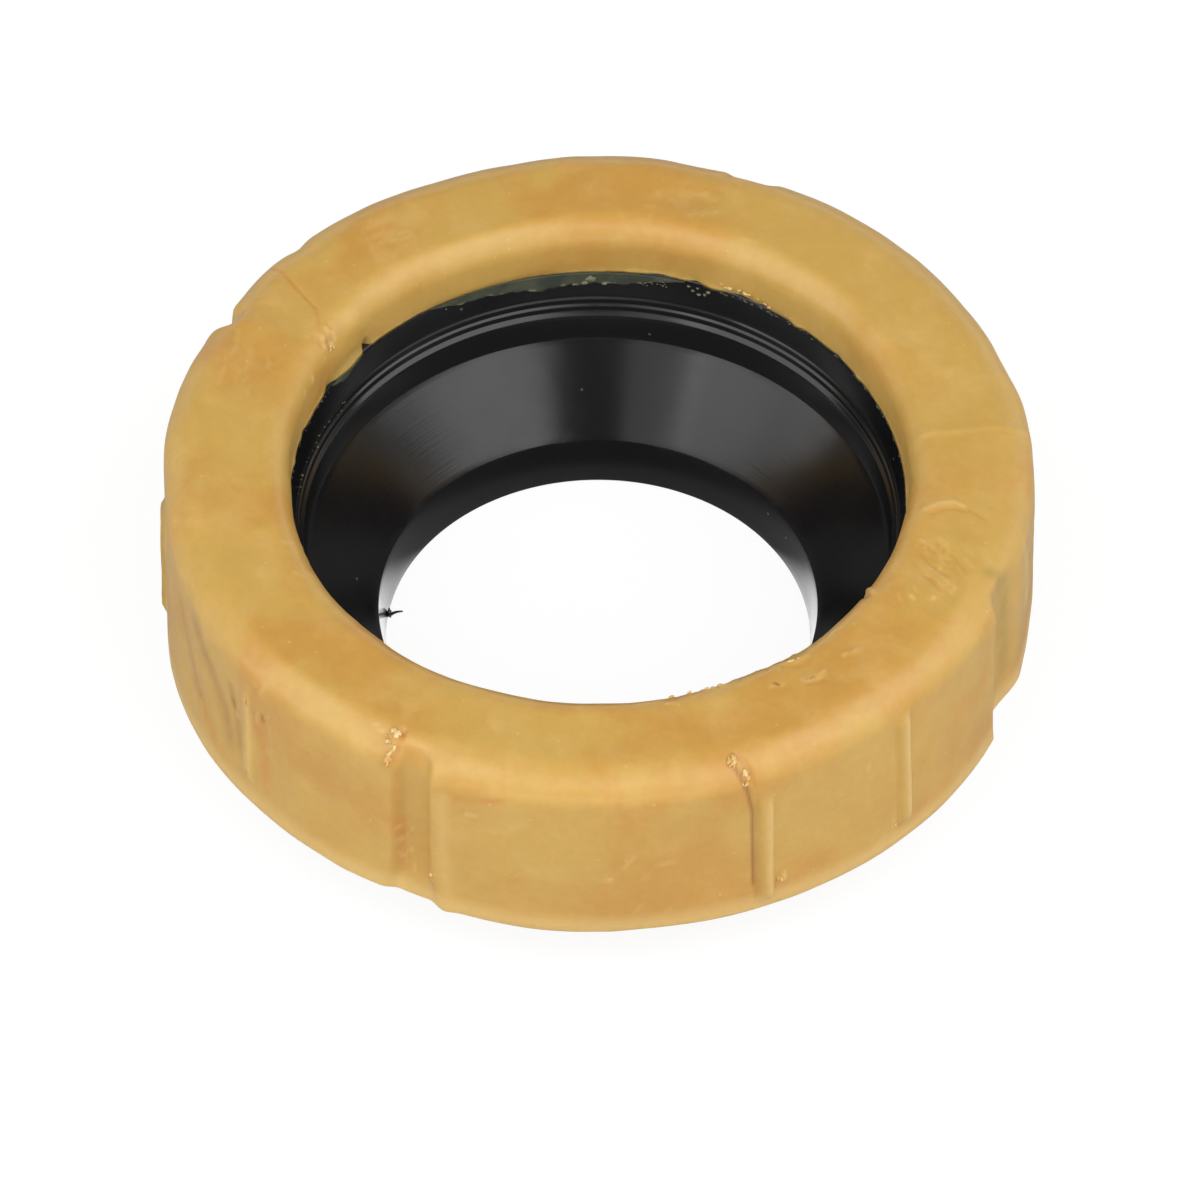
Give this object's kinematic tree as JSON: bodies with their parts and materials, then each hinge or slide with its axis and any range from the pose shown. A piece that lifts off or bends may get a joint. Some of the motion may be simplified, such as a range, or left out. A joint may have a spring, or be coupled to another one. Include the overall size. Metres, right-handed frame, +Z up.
{
  "type": "toilet pan seal",
  "caption": "Thick honey-coloured wax ring moulded round a black plastic horn, seals a toilet pan outlet to the soil pipe below it.",
  "frame": {"origin": "centre of the horn's mouth, on the plane that the seal stands on", "axes": "+Z up along the bore, from the horn's mouth towards the pan; -Y towards the picture's camera"},
  "size_m": [0.121, 0.1206, 0.0379],
  "materials": {
    "wax": "soft mottled honey wax with a greasy sheen",
    "horn_plastic": "smooth black polyethylene with fine turned lines"
  },
  "bodies": {
    "root": {"wax_ring": "wax", "horn": "horn_plastic"}
  },
  "joints": []
}
